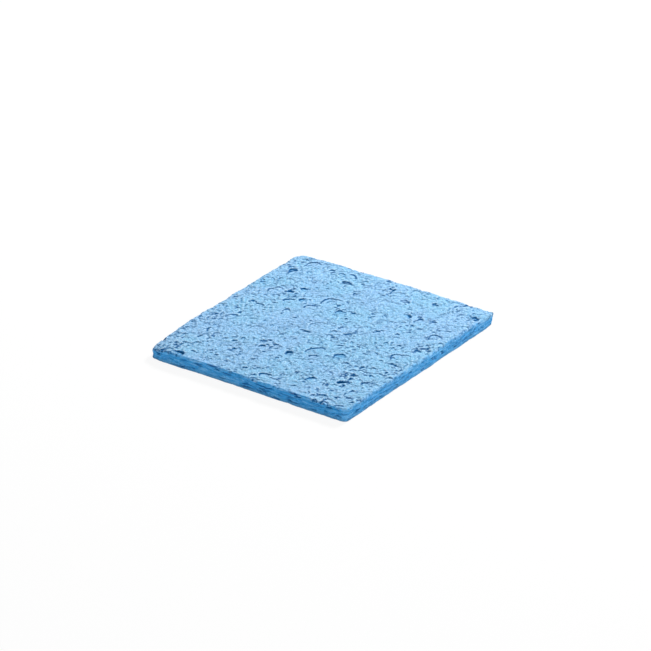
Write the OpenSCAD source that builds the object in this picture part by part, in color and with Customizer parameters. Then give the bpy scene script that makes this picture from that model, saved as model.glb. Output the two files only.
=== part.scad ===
// Cleaning sponge for a soldering iron's tip: one flat sheet of cellulose
// sponge, cut square from a block, dry and hard. The skin is full of open
// pores, and the cut edges show the layers of the block as thin slits.
// The sheet lies on z = 0, centred on the origin, its front edge on -Y.

/* [Sheet] */
// Width of the sheet, from left to right
sheet_x = 60; // [40:1:90]
// Length of the sheet, from front to back
sheet_y = 65; // [40:1:100]
// Thickness of the dry sheet
thickness = 3.6; // [2.6:0.1:8]

/* [Cut edges] */
// How far the cut edges wander to each side of a straight line
edge_wander = 0.2; // [0:0.05:0.4]
// Length of one slow wave of that wander
wander_length = 17; // [10:1:30]
// How far the middle of the back edge stands out past its ends
back_bow = 0.5; // [0:0.05:1]
// How far the middle of the left edge stands out past its ends
left_bow = 0.3; // [0:0.05:1]
// How much further right the right edge ends at the back than at the front
right_skew = 0.2; // [0:0.05:1]
// Rounding of the top along the front edge
front_ease = 0.5; // [0.3:0.1:1.5]
// Rounding of the top along the right edge, which is rolled over the most
right_ease = 1.3; // [0.3:0.1:2]
// Rounding of the top along the back edge
back_ease = 0.7; // [0.3:0.1:1.5]
// Rounding of the top along the left edge
left_ease = 0.8; // [0.3:0.1:1.5]
// Rounding of the underside, all the way round
under_ease = 0.3; // [0.2:0.1:0.8]

/* [Corners] */
// Radius of the front left corner
front_left_radius = 1.2; // [0.5:0.1:6]
// Radius of the front right corner
front_right_radius = 1.4; // [0.5:0.1:6]
// Radius of the back right corner, the sharpest
back_right_radius = 0.5; // [0.5:0.1:6]
// Radius of the worn back left corner
back_left_radius = 3.6; // [0.5:0.1:8]
// How far the top sinks at the front left corner
droop_depth = 0.9; // [0.2:0.1:1.2]
// How far along the front edge from that corner the top starts to sink
droop_reach_x = 5; // [3:0.5:12]
// How far along the left edge
droop_reach_y = 10; // [3:0.5:16]

/* [Wide pores] */
// Depth of the deepest wide pores
wide_depth = 1.1; // [0.4:0.1:1.2]
// Size of every wide pore, next to its size in the list
wide_growth = 1; // [0.7:0.05:1.2]
// Lip that stays of a pore's wall on its shallow side
shallow_lip = 0.12; // [0.05:0.01:0.3]

/* [Small pores] */
// Width of the many small pores between the wide ones
small_width = 0.9; // [0.7:0.05:1.5]
// Width of the few widest pores of the underside
under_width = 3.4; // [1.5:0.1:4.5]
// Depth of a small pore on the top
small_depth = 0.6; // [0.3:0.05:0.9]
// Depth of a pore on the underside
under_depth = 0.5; // [0.2:0.05:0.8]
// Average distance between small pores on the top
top_spacing = 4.3; // [4:0.1:8]
// Average distance between pores on the underside
under_spacing = 5.8; // [5:0.1:10]
// Skin that stays between a small pore and a wide one
pore_gap = 0.3; // [0.1:0.05:1]

/* [Cut walls] */
// Average length of a slit between two layers
slit_length = 2.6; // [1.5:0.1:5]
// Height of a slit at its middle
slit_height = 0.3; // [0.15:0.05:0.5]
// How deep a slit runs into the sheet
slit_depth = 0.7; // [0.3:0.1:1.5]
// Width of a pore that the cut has opened
wall_pore_width = 1.2; // [0.8:0.1:2]
// Depth of such a pore
wall_pore_depth = 0.4; // [0.2:0.05:0.8]
// Distance along the edge from one slit or pore to the next
wall_spacing = 3.9; // [3.6:0.1:10]

/* [Hidden] */

half_x = sheet_x / 2;
half_y = sheet_y / 2;
// Height that every cutter reaches past the surface it cuts
past = 1;
// Straight pieces in a quarter of a rounding
ease_steps = 3;
// Straight pieces in a quarter of a corner
corner_steps = 5;
// Straight pieces in one wave of a cut edge
wave_steps = 5;
// Sides of a wide pore and of a small one
wide_sides = 9;
small_sides = 6;
// How rare the widest of the scattered pores are: a higher power, fewer of them
rarity = 4;
// Quicker wave of a cut edge: its height next to the slow one's, and how many
// of them fit in one slow wave
quick_height = 0.6;
quick_rate = 2.16;
// Start of the waves of the front, right, back and left edges, in degrees
edge_phase = [20, 130, 250, 310];
// How much a pore's radius swells in two waves and in three waves round it
two_swell = 0.13;
three_swell = 0.10;
// How far a pore's first corner is turned by chance, in degrees
corner_turn = 40;
// Least and most length of a small pore, as a share of its width
small_stretch = [0.9, 1.5];
// Least and most turn of a small pore's steep wall, in degrees
small_turn = [-20, 70];
// Least and most height of the marks on a cut wall, as a share of the thickness
mark_height = [0.30, 0.65];
// Least and most length of a slit, as a share of slit_length, and its tilt
slit_stretch = [0.6, 1.4];
slit_tilt = [-2, 2];
// Height of a pore opened by the cut, as a share of its width
wall_pore_squash = 0.6;
// Chance numbers set aside for the marks of one wall
marks_a_wall = 40;
// Steps that spread places evenly: one over the plastic number, and its square
plastic = 1.3247179572;
spread_step = [1 / plastic, 1 / (plastic * plastic)];

// Wide pores of the top: place across and along in hundredths of the half
// sheet, width and length in millimetres, depth as a share of wide_depth, and
// how far the steep wall is turned, in degrees leftwards from the back
WIDE_PORES = [
    [-75, 85, 4.8, 4.4, 0.35, 35], [-84, 69, 2.4, 2.0, 0.70, 45],
    [-55, 85, 1.6, 2.2, 0.60, 30], [-32, 75, 3.0, 1.8, 0.80, 20],
    [7, 85, 1.2, 2.2, 1.00, 20], [53, 84, 1.6, 1.3, 0.70, 30],
    [78, 95, 3.0, 2.2, 0.55, 10], [95, 82, 1.3, 2.0, 0.80, 20],
    [29, 75, 2.4, 1.8, 0.45, 20], [-12, 62, 1.5, 2.2, 0.50, 60],
    [-53, 46, 2.6, 1.9, 0.75, 25], [-61, 36, 2.4, 2.2, 1.00, 25],
    [-43, 31, 2.2, 2.2, 0.65, 70], [-52, 23, 2.8, 3.4, 0.70, 40],
    [-20, 40, 5.6, 5.0, 0.50, 40], [-3, 29, 3.4, 3.0, 0.60, 30],
    [-73, 32, 4.0, 4.2, 0.30, 45], [-29, 23, 4.0, 3.0, 0.30, 35],
    [-42, 7, 2.8, 2.8, 0.45, 35], [-68, 4, 2.2, 2.0, 0.60, 0],
    [-77, 5, 1.9, 2.0, 0.55, 45], [47, 55, 2.2, 1.8, 0.95, -40],
    [60, 55, 1.8, 2.4, 0.65, 50], [72, 56, 2.0, 1.8, 0.50, 40],
    [43, 18, 2.0, 2.2, 0.60, 50], [90, 35, 4.6, 4.2, 0.40, 35],
    [90, 9, 1.9, 3.6, 0.85, 20], [93, 17, 2.4, 1.5, 0.80, 30],
    [86, -7, 5.4, 4.8, 0.40, 45], [26, 2, 2.0, 1.8, 0.50, 40],
    [21, -34, 4.8, 4.4, 0.60, 40], [44, -32, 3.8, 3.8, 0.65, 45],
    [54, -39, 2.4, 1.9, 0.50, 15], [25, -43, 2.8, 2.0, 0.40, 30],
    [6, -50, 2.4, 3.4, 0.85, 45], [72, -52, 2.2, 2.0, 0.90, 40],
    [64, -54, 1.6, 1.6, 0.70, 35], [89, -56, 2.6, 3.0, 0.70, 45],
    [73, -65, 4.0, 2.6, 1.00, 35], [47, -75, 3.2, 2.8, 0.80, 40],
    [70, -92, 2.8, 2.2, 0.75, 25], [13, -90, 4.2, 3.2, 0.50, 30],
    [-8, -13, 2.8, 1.8, 0.60, -10], [-25, -44, 1.9, 1.9, 0.60, 50],
    [-21, -52, 2.0, 1.9, 0.70, 35], [-70, -96, 3.8, 2.6, 1.00, 0],
    [87, -73, 1.7, 1.9, 0.70, 35], [-45, -57, 1.5, 1.6, 0.70, 30],
];

// Repeatable scatter from 0 to 1 for member k of a pattern: the digits far
// down a sine, which follow no visible rule
function scatter(k, salt) =
    let (swing = sin(k * 12.9898 + salt * 78.233) * 43758.5453)
    swing - floor(swing);

// Value at a share of the way through a range
function within(range, share) = range[0] + (range[1] - range[0]) * share;

// Evenly spread place k on the unit square
function spread(k) =
    let (at = [0.5, 0.5] + k * spread_step)
    [at.x - floor(at.x), at.y - floor(at.y)];

// Quarter circle about its centre in so many straight pieces, from a starting angle
function quarter(centre, radius, start, steps) =
    [for (i = [0 : steps])
        let (a = start + 90 * i / steps)
        centre + radius * [cos(a), sin(a)]];

// Run of a cut edge from one point to another, bowed outwards and waving to each side
function wavy_run(from, to, phase, bow) =
    let (
        run = norm(to - from),
        along = (to - from) / run,
        out = [along.y, -along.x],
        steps = ceil(wave_steps * run / wander_length)
    )
    [for (i = [1 : steps - 1])
        let (
            s = run * i / steps,
            turn = 360 * s / wander_length,
            wave = sin(turn + phase) + quick_height * sin(quick_rate * turn - phase)
        )
        from + s * along + (bow * sin(180 * i / steps) + edge_wander * wave / (1 + quick_height)) * out];

// Plan of the sheet: four rounded corners joined by four cut edges. The ends of
// a bowed edge stand in, and its middle out, by half the bow.
function sheet_plan() =
    let (
        fl = front_left_radius, fr = front_right_radius,
        br = back_right_radius, bl = back_left_radius,
        left = left_bow / 2 - half_x, front = -half_y, back = half_y - back_bow / 2,
        right_front = half_x - right_skew / 2, right_back = half_x + right_skew / 2
    )
    concat(
        quarter([left + fl, front + fl], fl, 180, corner_steps),
        wavy_run([left + fl, front], [right_front - fr, front], edge_phase[0], 0),
        quarter([right_front - fr, front + fr], fr, 270, corner_steps),
        wavy_run([right_front, front + fr], [right_back, back - br], edge_phase[1], 0),
        quarter([right_back - br, back - br], br, 0, corner_steps),
        wavy_run([right_back - br, back], [left + bl, back], edge_phase[2], back_bow),
        quarter([left + bl, back - bl], bl, 90, corner_steps),
        wavy_run([left, back - bl], [left, front + fl], edge_phase[3], left_bow)
    );

// Section through the sheet: a bar from one side to the other whose two upper and
// two lower edges are eased. Each side stands outside the wander, which keeps the
// cut edges to their own line.
function eased_section(low, high, low_ease, high_ease) =
    let (a = low - edge_wander, b = high + edge_wander, t = thickness, u = under_ease)
    concat(
        quarter([a + u, u], u, 180, ease_steps),
        quarter([b - u, u], u, 270, ease_steps),
        quarter([b - high_ease, t - high_ease], high_ease, 0, ease_steps),
        quarter([a + low_ease, t - low_ease], low_ease, 90, ease_steps)
    );

// Ragged outline of a pore: a ring whose radius swells and shrinks in slow waves
function ragged(width, length, sides, k) =
    [for (i = [0 : sides - 1])
        let (
            a = 360 * i / sides + corner_turn * scatter(k, 1),
            swell = 1 + two_swell * sin(2 * a + 360 * scatter(k, 2))
                + three_swell * sin(3 * a + 360 * scatter(k, 3))
        )
        swell / 2 * [width * cos(a), length * sin(a)]];

// Plain sheet: the overlap of its plan and its two cross-sections
module blank() {
    left = -half_x - left_bow / 2;
    right = half_x + right_skew / 2;
    back = half_y + back_bow / 2;
    intersection() {
        linear_extrude(thickness) polygon(sheet_plan());
        rotate([90, 0, 0])
            linear_extrude(sheet_y + 2 * past, center = true)
                polygon(eased_section(left, right, left_ease, right_ease));
        rotate([90, 0, 90])
            linear_extrude(sheet_x + 2 * past, center = true)
                polygon(eased_section(-half_y, back, front_ease, back_ease));
    }
}

// Cutter for one pore: a ragged prism sunk through the skin and tipped, so that
// one wall stands steep and the floor climbs to a low lip on the other side
module pore(width, length, depth, turn, sides, k) {
    lip = min(shallow_lip, depth / 2);
    tip = atan((depth - lip) / length);
    rotate([0, 0, turn])
        translate([0, 0, -(depth + lip) / 2])
            rotate([-tip, 0, 0])
                linear_extrude(depth + past)
                    polygon(ragged(width, length, sides, k));
}

// Wide pores of the top, each at its own place
module wide_pores() {
    for (k = [0 : len(WIDE_PORES) - 1])
        let (p = WIDE_PORES[k])
        translate([p[0] / 100 * half_x, p[1] / 100 * half_y, thickness])
            pore(p[2] * wide_growth, p[3] * wide_growth, p[4] * wide_depth, p[5], wide_sides, k);
}

// Free distance from a place on the top to the rim of the nearest wide pore
function room_at(place) =
    min([for (p = WIDE_PORES)
        norm(place - [p[0] / 100 * half_x, p[1] / 100 * half_y]) - max(p[2], p[3]) * wide_growth / 2]);

// Small pores spread evenly over one face, drawn as if that face were z = 0.
// Most are small_width wide, and a few reach the widest width. On the top they
// keep clear of the wide pores.
module small_pores(spacing, widest, depth, on_top) {
    count = floor(sheet_x * sheet_y / (spacing * spacing));
    for (k = [0 : count - 1]) {
        width = small_width + (widest - small_width) * pow(scatter(k, 4), rarity);
        at = spread(k);
        place = [(at.x - 0.5) * (sheet_x - width), (at.y - 0.5) * (sheet_y - width)];
        length = width * within(small_stretch, scatter(k, 5));
        sides = width > 2 * small_width ? wide_sides : small_sides;
        if (!on_top || room_at(place) > width / 2 + pore_gap)
            translate([place.x, place.y, 0])
                pore(width, length, depth, within(small_turn, scatter(k, 6)), sides, k);
    }
}

// Slits and opened pores by turns along one cut wall of the given run. The wall
// is drawn as if it were y = 0, with the sheet behind it on +Y.
module wall_marks(run, wall) {
    count = floor((run - 2 * slit_length) / wall_spacing);
    for (i = [0 : count - 1]) {
        k = wall * marks_a_wall + i;
        z = thickness * within(mark_height, scatter(k, 8));
        translate([(i - (count - 1) / 2) * wall_spacing, 0, z])
            rotate([90, within(slit_tilt, scatter(k, 9)), 0])
                if (i % 2 == 0)
                    slit(slit_length * within(slit_stretch, scatter(k, 7)));
                else
                    pore(wall_pore_width, wall_pore_width * wall_pore_squash, wall_pore_depth,
                         0, small_sides, k);
    }
}

// Cutter for one slit, sunk below z = 0: a flat prism with pointed ends, whose
// shoulders stand off its middle by a quarter and a fifth of its length
module slit(length) {
    tip = length / 2;
    far = length / 4;
    near = length / 5;
    h = slit_height / 2;
    translate([0, 0, -slit_depth])
        linear_extrude(slit_depth + past)
            polygon([[-tip, 0], [-far, -h], [near, -h], [tip, 0], [far, h], [-near, h]]);
}

// Cutter that sinks the top at the front left corner: a slab whose underside
// leans down to the corner from a level line between the two reaches
module droop() {
    reach = droop_reach_x * droop_reach_y / norm([droop_reach_x, droop_reach_y]);
    slab = 2 * (droop_reach_x + droop_reach_y);
    translate([-half_x, -half_y, thickness - droop_depth])
        rotate([0, 0, -atan(droop_reach_y / droop_reach_x)])
            rotate([atan(droop_depth / reach), 0, 0])
                translate([-slab / 2, -slab / 2, 0])
                    cube([slab, slab, thickness]);
}

module sponge() {
    color("lightskyblue")
        difference() {
            blank();
            wide_pores();
            translate([0, 0, thickness]) small_pores(top_spacing, 2 * small_width, small_depth, true);
            mirror([0, 0, 1]) small_pores(under_spacing, under_width, under_depth, false);
            translate([0, -half_y, 0]) wall_marks(sheet_x, 0);
            translate([half_x, 0, 0]) rotate([0, 0, 90]) wall_marks(sheet_y, 1);
            translate([0, half_y, 0]) rotate([0, 0, 180]) wall_marks(sheet_x, 2);
            translate([-half_x, 0, 0]) rotate([0, 0, 270]) wall_marks(sheet_y, 3);
            droop();
        }
}

sponge();
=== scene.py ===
"""Cleaning sponge for a soldering iron's tip: one flat sheet of blue cellulose sponge.

The sheet is one closed skin, worked out as numpy grids: a top full of open pores, four cut walls
that show the layers of the block, and a plainer underside. Lengths are in millimetres until a mesh
is made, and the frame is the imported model's: the sheet lies on z = 0, its front edge on -Y.
"""

import bpy
import numpy as np
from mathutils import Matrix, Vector


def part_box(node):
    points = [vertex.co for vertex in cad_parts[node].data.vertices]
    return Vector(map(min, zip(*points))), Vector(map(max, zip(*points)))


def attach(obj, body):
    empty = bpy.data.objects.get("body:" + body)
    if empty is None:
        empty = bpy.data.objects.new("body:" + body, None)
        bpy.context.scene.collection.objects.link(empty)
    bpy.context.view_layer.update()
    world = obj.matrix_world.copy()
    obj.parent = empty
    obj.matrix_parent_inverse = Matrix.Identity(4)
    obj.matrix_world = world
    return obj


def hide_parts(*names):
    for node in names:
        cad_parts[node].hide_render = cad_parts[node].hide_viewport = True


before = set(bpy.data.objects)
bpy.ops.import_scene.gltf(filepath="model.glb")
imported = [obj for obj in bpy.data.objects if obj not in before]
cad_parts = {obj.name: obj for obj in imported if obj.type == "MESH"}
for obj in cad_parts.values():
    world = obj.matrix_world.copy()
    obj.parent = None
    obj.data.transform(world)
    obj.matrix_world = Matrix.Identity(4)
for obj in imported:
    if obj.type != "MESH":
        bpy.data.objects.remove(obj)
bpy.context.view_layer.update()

MM = 0.001
sheet_low, sheet_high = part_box("sponge")

# -------- sizes, in millimetres
EDGE_STRAY = 0.23  # how far the plain solid's wavy edges stand out past their own line
HALF_X = (sheet_high.x - sheet_low.x) / 2 / MM - EDGE_STRAY
HALF_Y = (sheet_high.y - sheet_low.y) / 2 / MM - EDGE_STRAY
THICK = (sheet_high.z - sheet_low.z) / MM
CREST = 0.12  # how far the unsunk skin stands over the plain solid's top
SWELL_PERIOD, SWELL_HEIGHT = 8.0, 0.06  # long swells of the top

EDGE_WANDER = 0.21  # how far a cut edge strays from its line
# the waves in which it strays: period, share, and the seed of the noise
EDGE_WAVES = ((7.0, 0.7, 3), (1.2, 0.5, 4), (2.7, 0.5, 5))
EDGE_REACH = 4.0  # how far in from an edge the moves of the outline fade out
BACK_BOW = 0.5  # how far the middle of the back edge stands out past its ends
LEFT_BOW = 0.3  # the same of the left edge
RIGHT_SKEW = 0.2  # how much further right the right edge ends at the back
BACK_SKEW = 0.75  # how much further back the back edge ends at the right
LEFT_OUT = 0.15  # how far the left edge stands outside the plain solid's
FRONT_IN = 0.28  # how far the front edge stands inside it, from DIP_START rightwards
DIP_START, DIP_RUN = -19.0, 5.0
# corner radii: front left, front right, back right, back left (worn)
CORNERS = {(-1, -1): 1.2, (1, -1): 1.4, (1, 1): 0.5, (-1, 1): 3.6}
CORNER_TURN = 5.0  # how far from a corner the outward direction starts to turn round it
# rounding of the top along each cut edge, and of the underside
TOP_EASE = {"front": 0.35, "right": 0.45, "back": 0.5, "left": 0.6}
UNDER_EASE = 0.2
# how far a corner stands out past the rest, or in below 0, at the top and at the foot, in which
# direction of the plan, and how far around it
TIPS = {(-1, -1): (-0.35, -0.35), (1, 1): (0.32, -0.2)}
TIP_TOWARDS = (0.81, 0.58)
TIP_REACH = 3.5
DROOP_DEPTH = 1.15  # how far the top sinks at the front left corner
DROOP_REACH_X = 7.0  # how far along the front edge it starts to sink
DROOP_REACH_Y = 14.0  # how far along the left edge

GRID_STEP = 0.25  # distance between grid lines on the top
CLOSE_ROWS = (0.0, 0.05, 0.12, 0.22, 0.35, 0.52, 0.74)  # grid lines next to a cut edge
WALL_ROWS = 16  # grid lines from the top to the foot of a cut wall

# -------- camera
# The view is a long lens from the right of the front edge, 27 degrees above the floor.
CAMERA_AZIMUTH = 35.46
CAMERA_ELEVATION = 27.06
FRAME_PX = 651
LENS_PX = 3920.0  # focal length in pixels of the 651-pixel frame
DISTANCE_MM = 990.0
# pixel of the frame where the sheet's origin, the middle of its underside, lies
ORIGIN_PX = (322.35, 341.05)
SENSOR_MM = 36.0
CLIP_NEAR, CLIP_FAR = 0.01, 20.0  # metres


def place_camera():
    """A straight look along the view direction, moved sideways so that the origin lands on its pixel."""
    azimuth, elevation = np.radians([CAMERA_AZIMUTH, CAMERA_ELEVATION])
    level = np.cos(elevation)
    back = Vector((np.sin(azimuth) * level, -np.cos(azimuth) * level, np.sin(elevation)))
    right = Vector((np.cos(azimuth), np.sin(azimuth), 0.0))
    up = back.cross(right)
    middle = FRAME_PX / 2
    aside = (middle - ORIGIN_PX[0]) / LENS_PX * DISTANCE_MM
    above = (ORIGIN_PX[1] - middle) / LENS_PX * DISTANCE_MM
    lens = bpy.data.cameras.new("camera")
    lens.sensor_width = SENSOR_MM
    lens.lens = SENSOR_MM * LENS_PX / FRAME_PX
    lens.clip_start = CLIP_NEAR
    lens.clip_end = CLIP_FAR
    camera = bpy.data.objects.new("camera", lens)
    camera.location = (back * DISTANCE_MM + right * aside + up * above) * MM
    camera.rotation_mode = "QUATERNION"
    camera.rotation_quaternion = (-back).to_track_quat("-Z", "Y")
    bpy.context.scene.collection.objects.link(camera)
    bpy.context.scene.camera = camera


place_camera()

# -------- pores of the top, by place
# place across and along in hundredths of the half sheet, width and length in millimetres, depth as a
# share of the deepest, and how far the steep wall is turned, in degrees leftwards from the back
WIDE_PORES = np.array([
    [-75, 85, 4.8, 4.4, 0.35, 35], [-84, 69, 2.4, 2.0, 0.70, 45],
    [-55, 85, 1.6, 2.2, 0.60, 30], [-32, 75, 3.0, 1.8, 0.80, 20],
    [7, 85, 1.2, 2.2, 1.00, 20], [53, 84, 1.6, 1.3, 0.70, 30],
    [78, 95, 3.0, 2.2, 0.55, 10], [95, 82, 1.3, 2.0, 0.80, 20],
    [29, 75, 2.4, 1.8, 0.45, 20], [-12, 62, 1.5, 2.2, 0.50, 60],
    [-53, 46, 2.6, 1.9, 0.75, 25], [-61, 36, 2.4, 2.2, 1.00, 25],
    [-43, 31, 2.2, 2.2, 0.65, 70], [-52, 23, 2.8, 3.4, 0.70, 40],
    [-20, 40, 5.6, 5.0, 0.50, 40], [-3, 29, 3.4, 3.0, 0.60, 30],
    [-73, 32, 4.0, 4.2, 0.30, 45], [-29, 23, 4.0, 3.0, 0.30, 35],
    [-42, 7, 2.8, 2.8, 0.45, 35], [-68, 4, 2.2, 2.0, 0.60, 0],
    [-77, 5, 1.9, 2.0, 0.55, 45], [47, 55, 2.2, 1.8, 0.95, -40],
    [60, 55, 1.8, 2.4, 0.65, 50], [72, 56, 2.0, 1.8, 0.50, 40],
    [43, 18, 2.0, 2.2, 0.60, 50], [90, 35, 4.6, 4.2, 0.40, 35],
    [90, 9, 1.9, 3.6, 0.85, 20], [93, 17, 2.4, 1.5, 0.80, 30],
    [86, -7, 5.4, 4.8, 0.40, 45], [26, 2, 2.0, 1.8, 0.50, 40],
    [21, -34, 4.8, 4.4, 0.60, 40], [44, -32, 3.8, 3.8, 0.65, 45],
    [54, -39, 2.4, 1.9, 0.50, 15], [25, -43, 2.8, 2.0, 0.40, 30],
    [6, -50, 2.4, 3.4, 0.85, 45], [72, -52, 2.2, 2.0, 0.90, 40],
    [64, -54, 1.6, 1.6, 0.70, 35], [89, -56, 2.6, 3.0, 0.70, 45],
    [73, -65, 4.0, 2.6, 1.00, 35], [47, -75, 3.2, 2.8, 0.80, 40],
    [70, -92, 2.8, 2.2, 0.75, 25], [13, -90, 4.2, 3.2, 0.50, 30],
    [-8, -13, 2.8, 1.8, 0.60, -10], [-25, -44, 1.9, 1.9, 0.60, 50],
    [-21, -52, 2.0, 1.9, 0.70, 35], [-71.5, -98, 3.8, 2.6, 1.00, -18],
    [87, -73, 1.7, 1.9, 0.70, 35], [-45, -57, 1.5, 1.6, 0.70, 30],
])
PORE_DEPTH = 0.62  # depth of the deepest wide pores
PORE_WALL = 0.20  # how far in from the rim the steep wall ends
PORE_CALM, CALM_DEPTH = 0.5, 0.3  # share of the fine texture that a pore of this depth takes away
# waves of a pore's ragged rim: how many go once round, and their share of the radius
RIM_WAVES = ((2, 0.13), (3, 0.09), (5, 0.06))
# the rims stand this much further left and back than the plain solid's, whose pores are deeper
RIM_SHIFT = (-0.45, 0.30)
RIM_TURN = 8  # and their steep walls are turned this much more, in degrees

# short crescent pores: where the steep wall starts on the left and ends on the right, in millimetres,
# and depth as a share of the deepest
SHORT_PORES = np.array([
    [-26.5, 21.0, -25.0, 24.0, 0.8], [-26.6, 28.2, -26.0, 28.8, 0.5], [-28.8, 24.4, -28.2, 25.0, 0.4],
    [-16.8, 27.0, -16.3, 28.2, 0.6], [-11.2, 24.2, -8.4, 25.4, 0.9], [-12.0, 30.0, -9.0, 28.8, 0.5],
    [-6.6, 26.5, -5.8, 26.9, 0.5], [-2.2, 31.5, -1.0, 31.9, 0.8], [-17.2, 20.3, -16.6, 20.5, 0.4],
    [-3.8, 16.3, -2.9, 16.0, 0.5], [-19.6, 12.4, -17.8, 12.7, 1.0], [-28.8, 12.6, -27.2, 13.6, 0.4],
    [-18.8, 0.1, -18.2, 0.5, 0.5], [-29.0, 2.0, -28.1, 2.4, 0.5], [-19.9, 5.9, -19.1, 6.3, 0.3],
    [-13.5, 0.5, -13.7, 1.7, 0.5], [-9.7, 1.0, -8.9, 1.4, 0.9], [-5.5, 1.9, -4.7, 2.2, 0.5],
    [2.1, 26.3, 2.1, 28.7, 1.0], [7.9, 24.7, 9.6, 25.1, 0.6], [15.2, 27.6, 16.8, 28.0, 0.9],
    [28.4, 25.7, 28.4, 28.0, 0.9], [1.6, 24.2, 2.4, 24.5, 0.3], [15.9, 19.6, 16.7, 20.0, 0.5],
    [13.9, 19.0, 14.8, 17.6, 1.0], [19.6, 19.2, 20.4, 19.6, 0.5], [24.4, 22.8, 25.2, 23.2, 0.6],
    [24.2, 16.0, 25.0, 16.4, 0.6], [26.1, 17.1, 27.2, 17.6, 0.9], [5.2, 14.3, 6.2, 14.8, 0.9],
    [5.8, 13.1, 6.6, 13.5, 0.6], [18.3, 11.1, 19.5, 11.6, 0.9], [23.6, 10.9, 24.4, 11.4, 0.6],
    [1.0, 11.6, 2.0, 12.1, 0.9], [12.3, 7.8, 13.3, 8.2, 0.5], [16.5, 8.6, 17.7, 8.8, 0.6],
    [1.2, 7.9, 2.0, 8.3, 0.5], [26.1, 8.1, 27.3, 8.6, 0.9], [25.0, 6.3, 26.0, 6.8, 0.5],
    [28.0, 5.5, 29.0, 5.9, 0.9], [24.8, 4.6, 25.6, 5.0, 0.5], [20.4, 3.8, 21.6, 4.2, 0.9],
    [2.5, 0.8, 3.7, 1.2, 0.9], [3.1, 3.6, 3.9, 4.0, 0.5], [6.2, 1.0, 7.6, 1.6, 0.6],
    [-24.9, -2.7, -24.1, -2.3, 0.5], [-22.9, -5.0, -22.7, -3.0, 0.6], [-23.3, -6.5, -21.7, -5.9, 0.6],
    [-24.6, -9.0, -23.6, -6.2, 0.3], [-27.2, -8.9, -26.6, -8.2, 0.5], [-26.2, -11.5, -25.2, -11.1, 0.6],
    [-23.9, -17.0, -23.7, -15.3, 0.9], [-15.9, -16.6, -15.1, -16.2, 0.4], [-20.7, -19.2, -19.7, -18.8, 0.5],
    [-23.2, -21.8, -23.0, -20.3, 0.9], [-27.5, -24.3, -26.0, -23.7, 1.0], [-24.4, -25.8, -23.5, -25.4, 0.9],
    [-24.5, -28.5, -23.5, -28.2, 0.9], [-7.5, -12.6, -6.3, -12.2, 1.0], [-8.5, -14.6, -7.7, -13.3, 0.9],
    [-5.2, -13.8, -3.6, -13.3, 0.9], [-0.9, -14.0, -0.1, -13.7, 0.6], [-3.2, -14.1, -2.4, -13.8, 0.5],
    [-3.6, -15.4, -2.8, -15.1, 0.5], [-3.5, -3.6, -1.2, -2.9, 0.9], [-8.4, -2.3, -7.6, -2.0, 0.4],
    [-7.1, -8.3, -6.3, -8.0, 0.4], [-5.1, -18.6, -4.3, -18.3, 0.6], [-5.3, -23.5, -4.1, -23.0, 1.0],
    [-9.9, -28.1, -8.9, -27.8, 0.6], [-4.2, -28.2, -3.0, -27.7, 0.9], [-2.0, -27.4, -1.2, -27.1, 0.5],
    [-5.2, -30.5, -4.2, -30.2, 0.6], [-6.8, -31.6, -5.8, -31.3, 0.6], [8.3, -4.7, 9.5, -4.2, 0.9],
    [11.0, -3.4, 11.8, -3.1, 0.5], [7.9, -2.1, 8.7, -1.8, 0.5], [12.6, -4.6, 13.4, -4.3, 0.5],
    [16.2, -5.1, 17.1, -4.8, 0.6], [18.6, -2.7, 19.5, -3.1, 0.9], [21.4, -5.6, 22.3, -5.3, 0.5],
    [24.0, -5.5, 26.8, -5.4, 0.5], [9.1, -11.3, 10.0, -11.0, 0.5], [19.6, -12.2, 20.2, -10.6, 0.9],
    [22.4, -10.0, 23.3, -9.7, 0.6], [26.8, -11.8, 27.8, -11.4, 0.6], [22.5, -12.8, 23.4, -12.4, 0.6],
    [18.8, -13.5, 19.7, -13.2, 0.6], [22.7, -14.4, 23.6, -14.0, 0.6], [10.2, -23.8, 11.1, -23.4, 0.6],
    [17.6, -23.5, 18.5, -23.2, 0.5], [26.0, -26.6, 27.0, -26.0, 0.6], [29.0, -25.8, 29.8, -25.4, 0.6],
    [28.1, -28.0, 29.2, -27.5, 0.9], [23.7, -27.6, 24.9, -27.1, 0.9], [15.2, -27.5, 16.0, -27.2, 0.5],
    [11.3, -28.8, 12.5, -28.3, 0.9], [7.8, -16.6, 8.7, -16.2, 0.6], [7.4, -30.6, 8.6, -30.1, 0.9],
    [1.0, -31.4, 2.0, -31.0, 0.6], [25.8, -31.3, 28.0, -30.6, 0.7], [-26.3, -31.6, -25.3, -31.2, 0.8],
    [-27.0, -32.0, -26.0, -31.8, 0.9], [-14.4, -20.8, -13.4, -20.4, 0.4], [-12.8, -22.6, -11.8, -22.2, 0.4],
    [-13.9, -26.9, -12.9, -26.5, 0.5], [-11.0, -25.8, -10.1, -25.4, 0.5], [-9.0, -30.6, -8.2, -30.2, 0.4],
])
SHORT_DEPTH = 0.52  # depth of the deepest short pores
SHORT_REACH = (0.8, 0.30)  # length of a short pore towards the viewer: its least, and share of its width
SHORT_MORE = 0.35  # how much wider than its steep wall a short pore is

# -------- texture of the skin
LATTICE = 256  # cells after which the noise repeats
STEEP_SIDE = np.radians(125)  # direction of the steep side of the wrinkles, from +X towards +Y
STEEP_LEAN = np.radians(12)  # how far further round a pore's steep wall faces on average
STEEP_SCATTER = np.radians(150)  # how far that direction varies in all
STEP_WIDTH = 0.22  # width of a steep step of the skin, in millimetres
LINE_WIDTH = 0.16  # width of the line of painted shade along its foot
STRONG_LINE = 0.33  # the same of the pores placed one by one
LIP_START, LIP_END = 0.32, 0.80  # where the painted highlight on the floor beyond that line starts and ends
BROW_START, BROW_END = -0.45, -0.15  # where the fainter painted highlight on the brow before the step starts and ends
BROW_SHARE = 0.6  # how strong the painted highlight on the brow is next to the one beyond the line
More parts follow.
